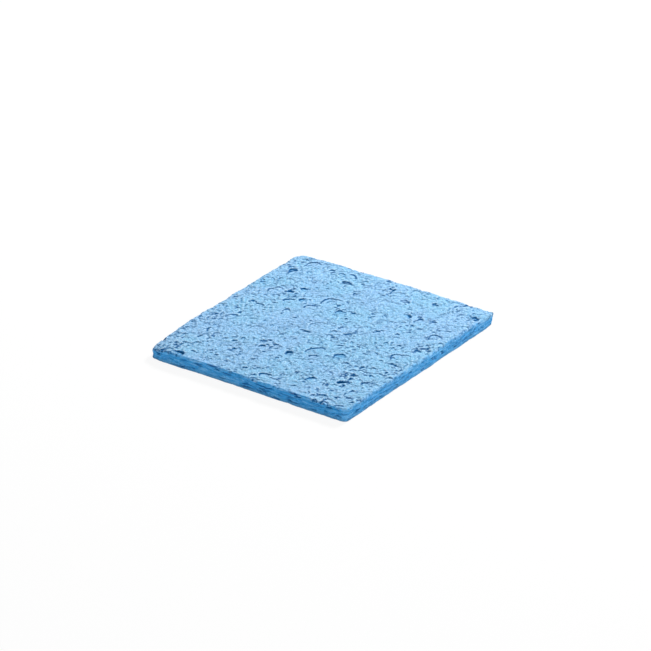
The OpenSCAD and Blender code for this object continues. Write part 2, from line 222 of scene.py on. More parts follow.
# crescent pores of the skin: width of a lattice cell, how much longer than wide it is, share of cells
# that hold a pore, full depth in millimetres, how dark the painted shade along its foot is, and how
# much they follow the rough patches
CRESCENTS = (
    (4.0, 1.1, 0.12, 0.28, 0.7, 0.4), (2.4, 1.3, 0.28, 0.31, 0.85, 1.0),
    (1.5, 1.6, 0.36, 0.32, 1.0, 1.1), (1.0, 1.8, 0.42, 0.27, 1.0, 1.1),
)
# wrinkles of the skin: period, full depth and darkness of the painted shade along the step
SHINGLES = ((2.6, 0.16, 0.28), (1.3, 0.16, 0.40))
# crinkles between them: period across the steep side and towards it, and full depth
CRINKLES = ((1.1, 1.8, 0.15), (0.55, 0.9, 0.11))
WARP_PERIOD, WARP = 0.9, 0.25  # how far the crinkles, wrinkles and rims stray, and in what waves
# soft ripples that run across the line of sight: period towards the back, length and height
RIPPLES = ((4.0, 9.0, 0.13), (2.2, 5.0, 0.05))
ROUGH_PERIOD, ROUGH_MEAN, ROUGH_SWING = 5.0, 0.78, 0.5  # slow change of how rough the skin is
# patches where the skin is rougher or smoother than elsewhere: place, reach and how much
ROUGH_PATCHES = (
    (21, -18, 6.0, 0.9), (-26, -29, 6.0, 0.8), (-19, 12, 4.0, 0.5), (15, 18, 3.0, 0.4), (26, 4, 4.0, 0.4),
    (-6, -14, 4.0, 0.4), (4, -28, 5.0, 0.6), (-22, 3, 4.0, 0.3), (2, 28, 3.0, 0.3), (-26, 25, 5.0, 0.3),
    (27, -9, 6.0, 0.2), (5, 20, 5.0, -0.4), (-12, -5, 6.0, -0.3), (9, -17, 3.0, -0.3), (-8, 4, 4.0, -0.2),
    (20, -30, 5.0, 0.9), (-27, 0, 5.0, 0.3), (-24, -14, 5.0, 0.3),
)
# patches where the blue of the flesh shows through the skin: place, reach and how much
BLUE_PATCHES = (
    (-17.0, 10.8, 2.2, 0.4), (-13.3, 10.2, 1.2, 0.5), (12.6, -8.8, 1.5, 0.4), (12.6, -11.5, 2.4, 0.25),
    (-1.0, 9.5, 2.2, 0.35), (13.9, 18.2, 1.4, 0.5), (-27.6, 13.0, 1.8, 0.4), (27.6, 27.4, 2.0, 0.5),
    (13.0, -23.8, 1.2, 0.4), (-16.2, 15.0, 1.2, 0.4), (-21.0, -31.8, 1.6, 0.6), (-26.4, 23.0, 1.2, 0.4),
)
UNDER_CELL = 4.6  # lattice cell of the underside's larger pores
UNDER_SHARE = 0.5  # share of those cells that hold one
UNDER_DEPTH = 0.55  # depth of the underside's texture as a share of the top's

# -------- texture of the cut walls
# slits of each cut wall: place along it in millimetres, height above the floor, length, height at the
# middle, depth and slope in degrees
WALL_SLITS = {
    "front": [
        (9.0, 0.5, 2.6, 0.26, 0.5, 2), (13.0, 0.75, 1.6, 0.22, 0.4, 0), (15.6, 2.75, 2.2, 0.3, 0.55, 9),
        (25.0, 2.7, 2.4, 0.28, 0.55, -1), (-14.8, 2.3, 2.8, 0.26, 0.45, -4), (4.6, 1.7, 2.0, 0.2, 0.3, 5),
        (-27.4, 2.05, 1.4, 0.45, 0.6, 0), (-7.4, 0.95, 2.4, 0.2, 0.3, 4), (27.6, 1.1, 2.4, 0.24, 0.35, 6),
        (-9.0, 2.85, 2.2, 0.26, 0.45, 8), (20.5, 0.65, 2.0, 0.2, 0.3, 3), (-19.5, 0.7, 1.8, 0.22, 0.3, 20),
    ],
    "right": [
        (-10.0, 1.0, 1.2, 0.28, 0.45, -8), (1.0, 0.7, 1.3, 0.3, 0.45, 0), (-4.4, 2.0, 1.6, 0.4, 0.4, 0),
        (9.6, 2.0, 1.4, 0.34, 0.45, -6), (-27.0, 1.6, 1.8, 0.22, 0.3, 0), (22.6, 1.2, 2.0, 0.22, 0.3, 0),
        (-17.0, 0.8, 1.6, 0.22, 0.35, -5), (15.4, 1.0, 1.6, 0.2, 0.3, 0),
    ],
    "back": [
        (-20.0, 1.4, 2.4, 0.26, 0.45, 3), (-8.0, 2.2, 1.8, 0.26, 0.45, -4), (3.0, 1.0, 2.6, 0.24, 0.4, 0),
        (12.0, 1.9, 1.6, 0.3, 0.5, 6), (22.0, 0.9, 2.2, 0.24, 0.4, 0),
    ],
    "left": [
        (-22.0, 1.1, 2.0, 0.26, 0.45, -3), (-11.0, 2.1, 2.4, 0.24, 0.45, 2), (1.0, 1.4, 1.6, 0.3, 0.5, 0),
        (10.0, 0.8, 2.6, 0.22, 0.35, 4), (21.0, 2.0, 1.8, 0.26, 0.45, -5),
    ],
}
SLIT_WAVE, SLIT_BEND = 3.1, 0.35  # how often a slit bends up and down, and share of its height
# layers of the walls, long and short: cells of the noise once round, height of a cell, how far they
# stand out, and the seed of the noise
WALL_LAYERS = ((84, 0.45, 0.14, 81), (230, 0.3, 0.08, 82))
PIT_TURNS = 150  # cells of the wall's small pits once round
PIT_SHARE, PIT_DEPTH = 0.45, 0.26
ROLL_START, ROLL_RUN = 7.0, 4.0  # how far from its back end the right edge's skin starts to roll over
SKIN_REACH = 1.3  # how far down the right wall the rolled skin fades out at the back
SKIN_SETBACK = 0.30  # how far in from a cut edge the skin ends
SKIN_FADE = 0.15  # how wide the change from skin to flesh is
SKIN_RAGGED, RAGGED_PERIOD = 0.15, 0.9  # how far the line where it ends strays, and in what waves
RIGHT_SETBACK, RIGHT_FADE = 0.15, 0.7  # the same along the right edge, where it is softer
# share of the skin's colour on the right wall: all over, more at its top, and how far down that goes
RIGHT_PALE, RIGHT_PALE_TOP, RIGHT_PALE_REACH = 0.10, 0.27, 0.7

# what the mesh stores at each point for the material, among them masks of painted shade and painted
# highlight, and the values that count as 1
STORED = ("pore", "relief", "steep", "line", "lip", "cut")
FULL_RELIEF = 0.25  # millimetres that a place stands over what is around it
FULL_SLOPE = 2.0
FULL_SLIT = 0.5  # depth of a slit whose painted shade is full


# -------- noise and bands
def eased(t):
    """A cubic blend from 0 to 1 that starts and ends level."""
    t = np.clip(t, 0.0, 1.0)
    return t * t * (3 - 2 * t)


def band(t, start, end, rise, fall):
    """0 before start, 1 up to end and 0 after it, eased over the given widths past each of them."""
    return eased((t - start) / rise) * (1 - eased((t - end) / fall))


def drift(u, v, seed, turns=LATTICE):
    """Smooth noise of about -1 to 1: a chance slope at each point of a unit lattice, and between them
    an eased blend of the four planes. It closes on itself after so many turns of u."""
    angle = np.random.default_rng(seed).uniform(0, 2 * np.pi, (turns, LATTICE))
    i, j = np.floor(u).astype(int), np.floor(v).astype(int)
    a, b = u - i, v - j
    blend_a, blend_b = eased(a), eased(b)
    total = 0
    for di in (0, 1):
        for dj in (0, 1):
            slope = angle[(i + di) % turns, (j + dj) % LATTICE]
            plane = np.cos(slope) * (a - di) + np.sin(slope) * (b - dj)
            share = (blend_a if di else 1 - blend_a) * (blend_b if dj else 1 - blend_b)
            total = total + share * plane
    return 1.5 * total


def waves(x, y, period, seed):
    """Smooth noise over the plan, with a lattice of so many millimetres."""
    return drift(x / period, y / period, seed)


def patches(x, y, rows):
    """Sum of round patches, each a bell curve of its own place, reach and height."""
    return sum(
        much * np.exp(-((x - px) ** 2 + (y - py) ** 2) / reach ** 2) for px, py, reach, much in rows
    )


def rim_bands(inside, width=LINE_WIDTH):
    """Two bands along a steep rim, by the distance inwards in millimetres: a line of painted shade on the
    wall and its foot, and a painted highlight on the floor beyond it with a fainter one on the brow of the
    skin before it."""
    line = band(inside, 0.0, width, rise=0.06, fall=0.12)
    lip = band(inside, LIP_START, LIP_END, rise=0.15, fall=0.3)
    brow = band(inside, BROW_START, BROW_END, rise=0.2, fall=0.15)
    return line, np.maximum(lip, BROW_SHARE * brow)


def deepest_of(first, second):
    """The larger values of two sets of arrays: depths, lines of painted shade and painted highlights."""
    return tuple(np.maximum(a, b) for a, b in zip(first, second))


def floor_climb(behind):
    """Share of a pore's depth, by the place from its near rim at -1 to its steep far wall at 1: full
    by the wall, and from there the floor climbs back to the skin."""
    return np.clip(0.4 + 0.8 * behind, 0, 1) ** 1.3


def far_side(behind):
    """1 along the steep far side of a pore and 0 along its near one, by the same place."""
    return eased((behind + 0.15) / 0.5)


def near_cells(u, v, draws, seed, turns):
    """The nine unit cells around each place, one at a time: how far the place is from the cell's chance
    middle, the cell's chance radius and its other draws. They repeat after so many turns of u."""
    chance = np.random.default_rng(seed).uniform(0, 1, (draws, turns, LATTICE))
    i, j = np.floor(u).astype(int), np.floor(v).astype(int)
    for di in (-1, 0, 1):
        for dj in (-1, 0, 1):
            p, q = i + di, j + dj
            across, along, size, *others = chance[:, p % turns, q % LATTICE]
            yield u - p - across, v - q - along, 0.25 + 0.40 * size, others


def lattice_pores(u, v, cell, share, seed):
    """Small crescent pores, 0 on the skin and up to 1 deep, with the lines of painted shade and the painted
    highlights along their walls. A share of the unit cells hold one each, placed, sized, turned and
    deepened by chance, and where two overlap the deeper one counts. The far side of a pore drops sharply
    and the floor climbs back to the skin. A cell is so many millimetres."""
    found = (np.zeros_like(u),) * 3
    for off_u, off_v, radius, (depth, present, turn) in near_cells(u, v, 6, seed, LATTICE):
        off_u, off_v = off_u / radius, off_v / radius
        inside = (1 - np.hypot(off_u, off_v)) * radius * cell
        facing = np.pi / 2 + STEEP_LEAN + (turn - 0.5) * STEEP_SCATTER
        behind = np.cos(facing) * off_u + np.sin(facing) * off_v
        strength = (0.35 + 0.65 * depth) * (present < share)
        drop = eased(inside / STEP_WIDTH) * floor_climb(behind)
        line, lip = rim_bands(inside)
        steep = strength * far_side(behind)
        found = deepest_of(found, (strength * drop, steep * line, steep * lip))
    return found


def lattice_bowls(u, v, share, seed, turns):
    """Round bowls, 0 on the skin and up to 1 deep, in a share of the unit cells. They close on
    themselves after so many turns of u."""
    deepest = np.zeros_like(u)
    for off_u, off_v, radius, (depth, present) in near_cells(u, v, 5, seed, turns):
        away = np.hypot(off_u, off_v) / radius
        bowl = np.sqrt(np.clip(1 - away ** 2, 0, 1))
        deepest = np.maximum(deepest, (0.3 + 0.7 * depth) * bowl * (present < share))
    return deepest


# -------- the top and its pores
def short_pores():
    """The short pores as rows of place, width, length, depth and turn: each lies before its steep wall,
    which runs straight from one given end to the other."""
    left, right = SHORT_PORES[:, 0:2], SHORT_PORES[:, 2:4]
    span = right - left
    width = np.hypot(span[:, 0], span[:, 1]) + SHORT_MORE
    length = SHORT_REACH[0] + SHORT_REACH[1] * width
    turn = np.arctan2(span[:, 1], span[:, 0])
    before = np.stack([np.sin(turn), -np.cos(turn)], 1) * (length / 2 - PORE_WALL / 2)[:, None]
    middle = (left + right) / 2 + before
    return np.column_stack([middle, width, length, SHORT_PORES[:, 4] * SHORT_DEPTH, np.degrees(turn)])


def sink_pores(x, y):
    """Depth of the wide and short pores at each place, the lines of painted shade and the painted
    highlights along their walls, and how far those walls lean outwards. A pore is a ragged ring: an ellipse
    whose radius swells and shrinks in slow waves. Its steep wall drops in an eased step just inside the
    rim, and its floor climbs from there back to the skin."""
    found = (np.zeros_like(x),) * 3
    lean_x, lean_y = np.zeros_like(x), np.zeros_like(x)
    wide = WIDE_PORES * (HALF_X / 100, HALF_Y / 100, 1, 1, PORE_DEPTH, 1) + (*RIM_SHIFT, 0, 0, 0, RIM_TURN)
    dice = np.random.default_rng(11)
    for px, py, width, length, deep, turn in np.concatenate([wide, short_pores()]):
        starts = dice.uniform(0, 2 * np.pi, len(RIM_WAVES))
        off_x, off_y = x - px, y - py
        c, s = np.cos(np.radians(turn)), np.sin(np.radians(turn))
        across, along = c * off_x + s * off_y, c * off_y - s * off_x
        angle = np.arctan2(along / length, across / width)
        swell = 1
        for (count, share), start in zip(RIM_WAVES, starts):
            swell = swell + share * np.sin(count * angle + start)
        ring = 2 * np.hypot(across / width, along / length) / swell
        inside = (1 - ring) * min(width, length) / 2
        behind = 2 * along / length
        wall = eased(inside / PORE_WALL)
        drop = deep * wall * floor_climb(behind)
        push = 0.9 * PORE_WALL * wall * np.clip(ring, 0, 1) ** 3 * floor_climb(behind) * (inside > 0)
        far = np.hypot(off_x, off_y) + 1e-6
        deeper = drop > found[0]
        lean_x = np.where(deeper, push * off_x / far, lean_x)
        lean_y = np.where(deeper, push * off_y / far, lean_y)
        line, lip = rim_bands(inside, STRONG_LINE)
        steep = eased(0.35 + deep / 0.3) * far_side(behind)
        found = deepest_of(found, (drop, steep * line, steep * lip))
    return found, lean_x, lean_y


def along_grain(x, y):
    """Place across the steep side of the wrinkles and towards it."""
    side = np.sin(STEEP_SIDE) * x - np.cos(STEEP_SIDE) * y
    run = np.cos(STEEP_SIDE) * x + np.sin(STEEP_SIDE) * y
    return side, run


def shingles(x, y, period, seed):
    """Wrinkles like the edges of overlapping scales, from 0 to 1 deep, and the lines of painted shade and
    the
    painted highlights along them: the ground sinks slowly towards the steep side and then rises in a short
    step.
    Noise that is longer across the steep side than towards it bends the steps and lets them fade in and
    out."""
    side, run = (place / period for place in along_grain(x, y))
    bend = 1.8 * drift(run / 4.0, side / 5.0, seed) + 0.6 * drift(run / 1.6, side / 1.6, seed + 1)
    phase = run + bend
    rise = phase - np.floor(phase)
    strength = np.clip(0.3 + 1.2 * drift(run / 1.5, side / 2.0, seed + 2), 0, 1)
    inside = (1 - rise) * period
    line, lip = rim_bands(inside)
    return strength * rise * eased(inside / STEP_WIDTH), strength * line, strength * lip


def roughness(x, y):
    """How rough the skin is at each place, about 1 on average: slow noise and the named patches."""
    rough = ROUGH_MEAN + ROUGH_SWING * waves(x, y, ROUGH_PERIOD, seed=25) + patches(x, y, ROUGH_PATCHES)
    return np.clip(rough, 0.15, 1.7)


def ripples(x, y):
    """Soft long waves of the skin, as a height: noise stretched across the line of sight."""
    side, run = along_grain(x, y)
    return sum(high * drift(run / period, side / length, 51) for period, length, high in RIPPLES)


def crepe(x, y, rough, seed):
    """Wrinkled skin between the pores, as millimetres of depth and the lines of painted shade and the
    painted
    highlights along the steps: crinkles, which are the size of noise on warped coordinates and so meet in
    sharp creases, shingled wrinkles, and crescent pores of four sizes with crinkled rims."""
    bend_x = x + WARP * waves(x, y, WARP_PERIOD, seed)
    bend_y = y + WARP * waves(x, y, WARP_PERIOD, seed + 1)
    side, run = along_grain(bend_x, bend_y)
    crinkles = 0
    for step, (across, towards, deep) in enumerate(CRINKLES):
        noisy = drift(side / across, run / towards, seed + 2 + step)
        crinkles = crinkles + deep * (1 - np.abs(noisy)) ** 2
    found = (np.zeros_like(x),) * 3
    for cell, stretch, share, deep, line_shade, follow in CRESCENTS:
        seed += 1
        gain = np.clip(1 + follow * (rough - 1), 0.1, 1.6)
        depth, line, lip = lattice_pores(side / cell, run / (cell * stretch), cell, share, seed + 4)
        found = deepest_of(found, (gain * deep * depth, gain * line_shade * line, gain * line_shade * lip))
    for period, deep, line_shade in SHINGLES:
        seed += 10
        depth, line, lip = shingles(bend_x, bend_y, period, seed)
        found = deepest_of(found, (deep * depth, line_shade * line, line_shade * lip))
    return crinkles + found[0], found[1], found[2]


def grid_lines(half):
    """Places of the grid lines from one edge to the other: close rows at each end, even steps between."""
    rows = np.array(CLOSE_ROWS)
    inner = half - rows[-1]
    steps = 2 * int(np.ceil(inner / GRID_STEP))
    even = np.linspace(-inner, inner, steps + 1)
    return np.concatenate([-half + rows[:-1], even, (half - rows[:-1])[::-1]])


def corner_squares(x, y):
    """For each corner its sides and radius, the place in the square beside it, measured from the arc's
    middle, and whether the place is in that square."""
    for (side_x, side_y), radius in CORNERS.items():
        a = side_x * x - HALF_X + radius
        b = side_y * y - HALF_Y + radius
        yield side_x, side_y, radius, a, b, (a > 0) & (b > 0)


def round_corners(x0, y0):
    """Moves a rectangle's grid onto the rounded plan: in the square beside each corner, the disc
    mapping a * sqrt(1 - b * b / 2) carries the square's rim onto the arc."""
    x, y = x0, y0
    for side_x, side_y, radius, a, b, within in corner_squares(x0, y0):
        a, b = np.clip(a / radius, 0, 1), np.clip(b / radius, 0, 1)
        x = np.where(within, side_x * (HALF_X - radius + radius * a * np.sqrt(1 - b ** 2 / 2)), x)
        y = np.where(within, side_y * (HALF_Y - radius + radius * b * np.sqrt(1 - a ** 2 / 2)), y)
    return x, y


def distance_in(x, y):
    """Distance from each place to the rounded outline, and the ease of the top there."""
    to_side = {
        "front": HALF_Y + y, "back": HALF_Y - y,
        "left": HALF_X + x, "right": HALF_X - x,
    }
    away = np.minimum.reduce(list(to_side.values()))
    for _, _, radius, a, b, within in corner_squares(x, y):
        away = np.where(within, radius - np.hypot(a, b), away)
    weight = {name: 1 / (d + 0.4) ** 4 for name, d in to_side.items()}
    total = sum(weight.values())
    ease = sum(weight[name] * TOP_EASE[name] for name in to_side) / total
    return np.maximum(away, 0), ease


def edge_drift(x, y):
    """How far the outline strays outwards at each place, fading out away from the edge."""
    away, _ = distance_in(x, y)
    stray = sum(share * waves(x, y, period, seed) for period, share, seed in EDGE_WAVES)
    return EDGE_WANDER * stray * (1 - eased(away / EDGE_REACH))


def bowed(x, y):
    """Shifts that bow the back and left edges outwards in half a cosine, skew the right and back edges
    and set the left one out and the front one in. Each fades out away from its edge."""
    by_left, by_right, by_front, by_back = (
        1 - eased(away / EDGE_REACH) for away in (HALF_X + x, HALF_X - x, HALF_Y + y, HALF_Y - y)
    )
    arch_y = np.cos(np.pi / 2 * y / HALF_Y) - 0.5
    arch_x = np.cos(np.pi / 2 * x / HALF_X) - 0.5
    shift_x = by_right * RIGHT_SKEW / 2 * y / HALF_Y - by_left * (LEFT_BOW * arch_y + LEFT_OUT)
    shift_y = by_back * (BACK_BOW * arch_x + BACK_SKEW / 2 * x / HALF_X)
    return shift_x, shift_y + by_front * FRONT_IN * eased((x - DIP_START) / DIP_RUN)


def outwards(x, y):
    """Unit direction from the middle of the sheet to the nearest part of its edge."""
    over_x = np.maximum(np.abs(x) - HALF_X + CORNER_TURN, 0)
    over_y = np.maximum(np.abs(y) - HALF_Y + CORNER_TURN, 0)
    nx, ny = np.sign(x) * (over_x / CORNER_TURN) ** 6, np.sign(y) * (over_y / CORNER_TURN) ** 6
    far = np.hypot(nx, ny) + 1e-9
    return nx / far, ny / far


def moved_outline(x, y):
    """The rounded grid with its outline strayed, bowed and skewed."""
    stray = edge_drift(x, y)
    nx, ny = outwards(x, y)
    shift_x, shift_y = bowed(x, y)
    return x + nx * stray + shift_x, y + ny * stray + shift_y


def tipped(x, y, end):
    """The outline with its named corners moved in or out, at the top (end 0) or at the foot (end 1)."""
    moved_x, moved_y = x, y
    for (side_x, side_y), out in TIPS.items():
        near = eased(1 - np.hypot(x - side_x * HALF_X, y - side_y * HALF_Y) / TIP_REACH)
        moved_x = moved_x + TIP_TOWARDS[0] * side_x * out[end] * near
        moved_y = moved_y + TIP_TOWARDS[1] * side_y * out[end] * near
    return moved_x, moved_y


def rolled(away, ease):
    """Fall of an eased edge: a quarter circle of the ease's radius."""
    t = np.clip(1 - away / ease, 0, 1)
    return ease * (1 - np.sqrt(np.clip(1 - t * t, 0, 1)))


def local_relief(height):
    """How far each place stands above the mean of its neighbourhood: the height less the same after
    three passes that give each place the mean of itself and the four beside it."""
    blurred = height
    for _ in range(3):
        padded = np.pad(blurred, 1, mode="edge")
        beside = padded[:-2, 1:-1] + padded[2:, 1:-1] + padded[1:-1, :-2] + padded[1:-1, 2:]
        blurred = (beside + padded[1:-1, 1:-1]) / 5
    return height - blurred


def steepness(x, y, z):
    """Slope of a surface over its grid, as rise for each unit of length."""
    step_x = np.hypot(np.gradient(x, axis=1), np.gradient(y, axis=1)) + 0.05
    step_y = np.hypot(np.gradient(x, axis=0), np.gradient(y, axis=0)) + 0.05
    return np.hypot(np.gradient(z, axis=1) / step_x, np.gradient(z, axis=0) / step_y)


def top_face(x0, y0):
    """The top as a height over the rounded grid: pores and wrinkles sink it, the edges roll it over and the
    front left corner droops. It gives the places, how deep they are with the blue patches added, which the
    material turns into painted shade and deeper blue, their relief and slope, and the lines of painted
    shade and the painted highlights."""
    x, y = round_corners(x0, y0)
    away, ease = distance_in(x, y)
    (depth, line, lip), lean_x, lean_y = sink_pores(x, y)
    cells, fine_line, fine_lip = crepe(x, y, roughness(x, y), 21)
    calm = 1 - PORE_CALM * eased(depth / CALM_DEPTH)
    line, lip = np.maximum(line, calm * fine_line), np.maximum(lip, calm * fine_lip)
    sink = depth + calm * cells
    swell = SWELL_HEIGHT * waves(x, y, SWELL_PERIOD, seed=41) + ripples(x, y)
    corner = np.clip(1 - (x + HALF_X) / DROOP_REACH_X - (y + HALF_Y) / DROOP_REACH_Y, 0, 1)
    z = THICK + CREST - sink + swell - DROOP_DEPTH * corner ** 1.5 - rolled(away, ease)
    hold = eased(away / 0.6)
    x, y = tipped(*moved_outline(x, y), 0)
    x, y = x + hold * lean_x, y + hold * lean_y
    blue = depth + PORE_DEPTH * patches(x, y, BLUE_PATCHES)
    return x, y, z, blue, local_relief(-sink), steepness(x, y, sink), line, lip


def under_face(x0, y0):
    """The underside: flat on the floor between its wrinkles and pores, eased along the edges. It gives
    the same rows of values as the top."""
    x, y = round_corners(x0, y0)
    away, _ = distance_in(x, y)
    wrinkles = crepe(x, y, np.ones_like(x), 61)
    pores = lattice_pores(x / UNDER_CELL, y / UNDER_CELL, UNDER_CELL, UNDER_SHARE, seed=71)
    depth, line, lip = deepest_of(wrinkles, pores)
    sink = UNDER_DEPTH * depth * eased(away / 0.8)
    z = sink + rolled(away, UNDER_EASE)
    x, y = tipped(*moved_outline(x, y), 1)
    return x, y, z, sink, local_relief(-sink), steepness(x, y, sink), line, lip


# -------- the cut walls
def slit_depth(x, y, z):
    """Depth of the slits between layers: flat lenses that bend up and down, deepest at their middle."""
    facing = {
        "front": y < -HALF_Y + 1, "back": y > HALF_Y - 1,
        "left": x < -HALF_X + 1, "right": x > HALF_X - 1,
    }
    depth = np.zeros_like(z)
    for wall, rows in WALL_SLITS.items():
        for place, height, length, mouth, deep, slope in rows:
            along = (x if wall in ("front", "back") else y) - place
            off = z - height - np.tan(np.radians(slope)) * along
            bend = mouth * SLIT_BEND * np.sin(SLIT_WAVE * along + place)
            lens = 1 - (2 * along / length) ** 2 - ((off - bend) * 2 / mouth / 1.5) ** 2
            depth = np.maximum(depth, deep * np.sqrt(np.clip(lens, 0, 1)) * facing[wall])
    return depth


def by_right_edge(x):
    """1 along the right edge and 0 elsewhere."""
    return eased((x - HALF_X + 2.0) / 1.0)


def skin_rolled_over(x, y):
    """1 at the back end of the right edge, where the skin rolls over onto the cut wall, 0 elsewhere."""
    return by_right_edge(x) * eased((y - HALF_Y + ROLL_START) / ROLL_RUN)


def skin_ends(x0, y0):
    """How much flesh shows on the top: 1 at a cut edge and 0 behind a ragged line, but none where the
    skin rolls over."""
    away, _ = distance_in(*round_corners(x0, y0))
    by_right = by_right_edge(x0)
    fade = SKIN_FADE + by_right * (RIGHT_FADE - SKIN_FADE)
    setback = SKIN_SETBACK + by_right * (RIGHT_SETBACK - SKIN_SETBACK)
    ragged = setback + SKIN_RAGGED * waves(x0, y0, RAGGED_PERIOD, seed=91)
    return eased((ragged - away) / fade + 0.5) * (1 - skin_rolled_over(x0, y0))


def wall_face(ring_top, ring_foot):
    """Rows of the cut wall between the rim of the top and the foot ring. Each row is the ring moved
    in and out by flat layers, small pits and the slits; the moves fade at both rims. It gives the same
    rows of values as the top, and how much flesh shows."""
    step = np.roll(ring_top, -1, 0) - np.roll(ring_top, 1, 0)
    out = np.stack([step[:, 1], -step[:, 0]], 1)
    out /= np.linalg.norm(out, axis=1)[:, None] + 1e-9
    gap = np.linalg.norm((np.roll(ring_top, -1, 0) - ring_top)[:, :2], axis=1)
    run = np.concatenate([[0], np.cumsum(gap)[:-1]]) / gap.sum()
    share = np.linspace(0, 1, WALL_ROWS + 1)[:, None]
    x, y, z = (ring_top[None, :, k] * (1 - share) + ring_foot[None, :, k] * share for k in range(3))
    run = np.broadcast_to(run, z.shape)
    down = ring_top[None, :, 2] - z
    fade = eased(np.minimum(down, z - ring_foot[None, :, 2]) / 0.3)
    layers = sum(
        thick * drift(run * turns, z / high, seed, turns) for turns, high, thick, seed in WALL_LAYERS
    )
    pits = PIT_DEPTH * lattice_bowls(run * PIT_TURNS, z, PIT_SHARE, 83, PIT_TURNS)
    slits = slit_depth(x, y, z)
    inward = (np.maximum(pits, slits) - layers) * fade
    x = x - out[None, :, 0] * inward
    y = y - out[None, :, 1] * inward
    slope = steepness(run * gap.sum(), z, inward)
    flesh = 1 - skin_rolled_over(x, y) * (1 - eased(0.25 + down / SKIN_REACH))
    flesh -= by_right_edge(x) * (RIGHT_PALE + RIGHT_PALE_TOP * (1 - eased(down / RIGHT_PALE_REACH)))
    # the slits' depth, as a share of FULL_SLIT, is the mask of painted shade in them; the walls get no
    # painted highlight
    return x, y, z, slits, local_relief(-inward), slope, slits / FULL_SLIT, np.zeros_like(z), flesh


# -------- the sheet's one closed skin
def border_ring(nx, ny):
    """Row and column of each place on the border of a grid, once round from the front left corner."""
    i, j = np.arange(nx), np.arange(ny)
    ring = np.concatenate([
        np.stack([np.zeros(nx - 1, int), i[:-1]], 1),
        np.stack([j[:-1], np.full(ny - 1, nx - 1)], 1),
        np.stack([np.full(nx - 1, ny - 1), i[:0:-1]], 1),
        np.stack([j[:0:-1], np.zeros(ny - 1, int)], 1),
    ])
    return ring[:, 0], ring[:, 1]


def skin_faces(top_id, row_id, low_id):
    """Faces of the closed skin from the point numbers of the top, the wall rows and the underside: one
    for each cell of the top and the walls, and for each two by two cells of the underside, whose
    border faces take in the lines that the rest leaves out."""
    ny, nx = top_id.shape
    top_quads = np.stack([top_id[:-1, :-1], top_id[:-1, 1:], top_id[1:, 1:], top_id[1:, :-1]], -1)
    beside = np.roll(row_id, -1, 1)
    wall_quads = np.stack([row_id[1:], beside[1:], beside[:-1], row_id[:-1]], -1)
    loop = [(0, 0), (1, 0), (2, 0), (2, 1), (2, 2), (1, 2), (0, 2), (0, 1)]
    low_cells = np.stack([low_id[a:ny - 2 + a:2, b:nx - 2 + b:2] for a, b in loop], -1).reshape(-1, 8)
    plain = (low_cells >= 0).sum(1) == 4
    faces = [*top_quads.reshape(-1, 4).tolist(), *wall_quads.reshape(-1, 4).tolist()]
    faces += low_cells[plain][:, ::2].tolist()
    return faces + [cell[cell >= 0].tolist() for cell in low_cells[~plain]]


def sheet_mesh():
    """Joins the top grid, the wall rows and the underside, which share their rims, into one closed
    mesh, and stores at each point what the material reads."""
    x0, y0 = np.meshgrid(grid_lines(HALF_X), grid_lines(HALF_Y))
    top, under = top_face(x0, y0), under_face(x0, y0)
    rim = border_ring(x0.shape[1], x0.shape[0])
    wall = wall_face(*(np.stack([face[k][rim] for k in range(3)], 1) for face in (top, under)))

    top_id = np.arange(x0.size).reshape(x0.shape)
    row_id = np.zeros(wall[0].shape, int)
    row_id[0] = top_id[rim]
    row_id[1:] = x0.size + np.arange(row_id[1:].size).reshape(row_id[1:].shape)
    low_id = np.full(x0.shape, -1)
    low_id[rim] = row_id[-1]
    inner = (slice(2, -2, 2), slice(2, -2, 2))
    low_id[inner] = row_id[-1, -1] + 1 + np.arange(low_id[inner].size).reshape(low_id[inner].shape)

    def gather(k):
        """One row of values at all points of the mesh, in the order of their numbers."""
        return np.concatenate([top[k].ravel(), wall[k][1:].ravel(), under[k][inner].ravel()])

    mesh = bpy.data.meshes.new("sponge_sheet")
    places = np.stack([gather(0), gather(1), gather(2)], 1) * MM
    mesh.from_pydata(places.tolist(), [], skin_faces(top_id, row_id, low_id))
    mesh.update()
    cut = np.concatenate([skin_ends(x0, y0).ravel(), wall[8][1:].ravel(), np.zeros(low_id[inner].size)])
    values = (
        gather(3) / PORE_DEPTH, 0.5 + 0.5 * gather(4) / FULL_RELIEF, gather(5) / FULL_SLOPE,
        gather(6), gather(7), cut,
    )
    for name, value in zip(STORED, values):
        stored = mesh.attributes.new(name, "FLOAT", "POINT")
        stored.data.foreach_set("value", np.clip(value, 0, 1).astype(np.float32))
    mesh.polygons.foreach_set("use_smooth", np.ones(len(mesh.polygons), bool))
    return mesh


# -------- node helpers
def add(tree, kind, settings=None, **inputs):
    """One shader node with its settings, and its inputs as values or as the sockets that feed them. An
    input is named by its own name or, as i0, i1 and so on, by its number."""
    made = tree.nodes.new(kind)
    for name, value in (settings or {}).items():
        setattr(made, name, value)
    for name, value in inputs.items():
        numbered = name[0] == "i" and name[1:].isdigit()
        socket = made.inputs[int(name[1:]) if numbered else name.replace("_", " ")]
        if isinstance(value, bpy.types.NodeSocket):
            tree.links.new(value, socket)
        else:
            socket.default_value = value
    return made


def maths(tree, operation, a, b=0.5, c=0.5):
    """The result of one Math node."""
    return add(tree, "ShaderNodeMath", {"operation": operation}, i0=a, i1=b, i2=c).outputs[0]


def vector_maths(tree, operation, a, b):
    """The result of one Vector Math node."""
    return add(tree, "ShaderNodeVectorMath", {"operation": operation}, i0=a, i1=b).outputs[0]


def ramp(tree, value, start, end, kind="LINEAR"):
    """How far a value is on its way from start to end, from 0 to 1."""
    made = add(tree, "ShaderNodeMapRange", {"interpolation_type": kind}, i0=value, i1=start, i2=end)
    return made.outputs[0]


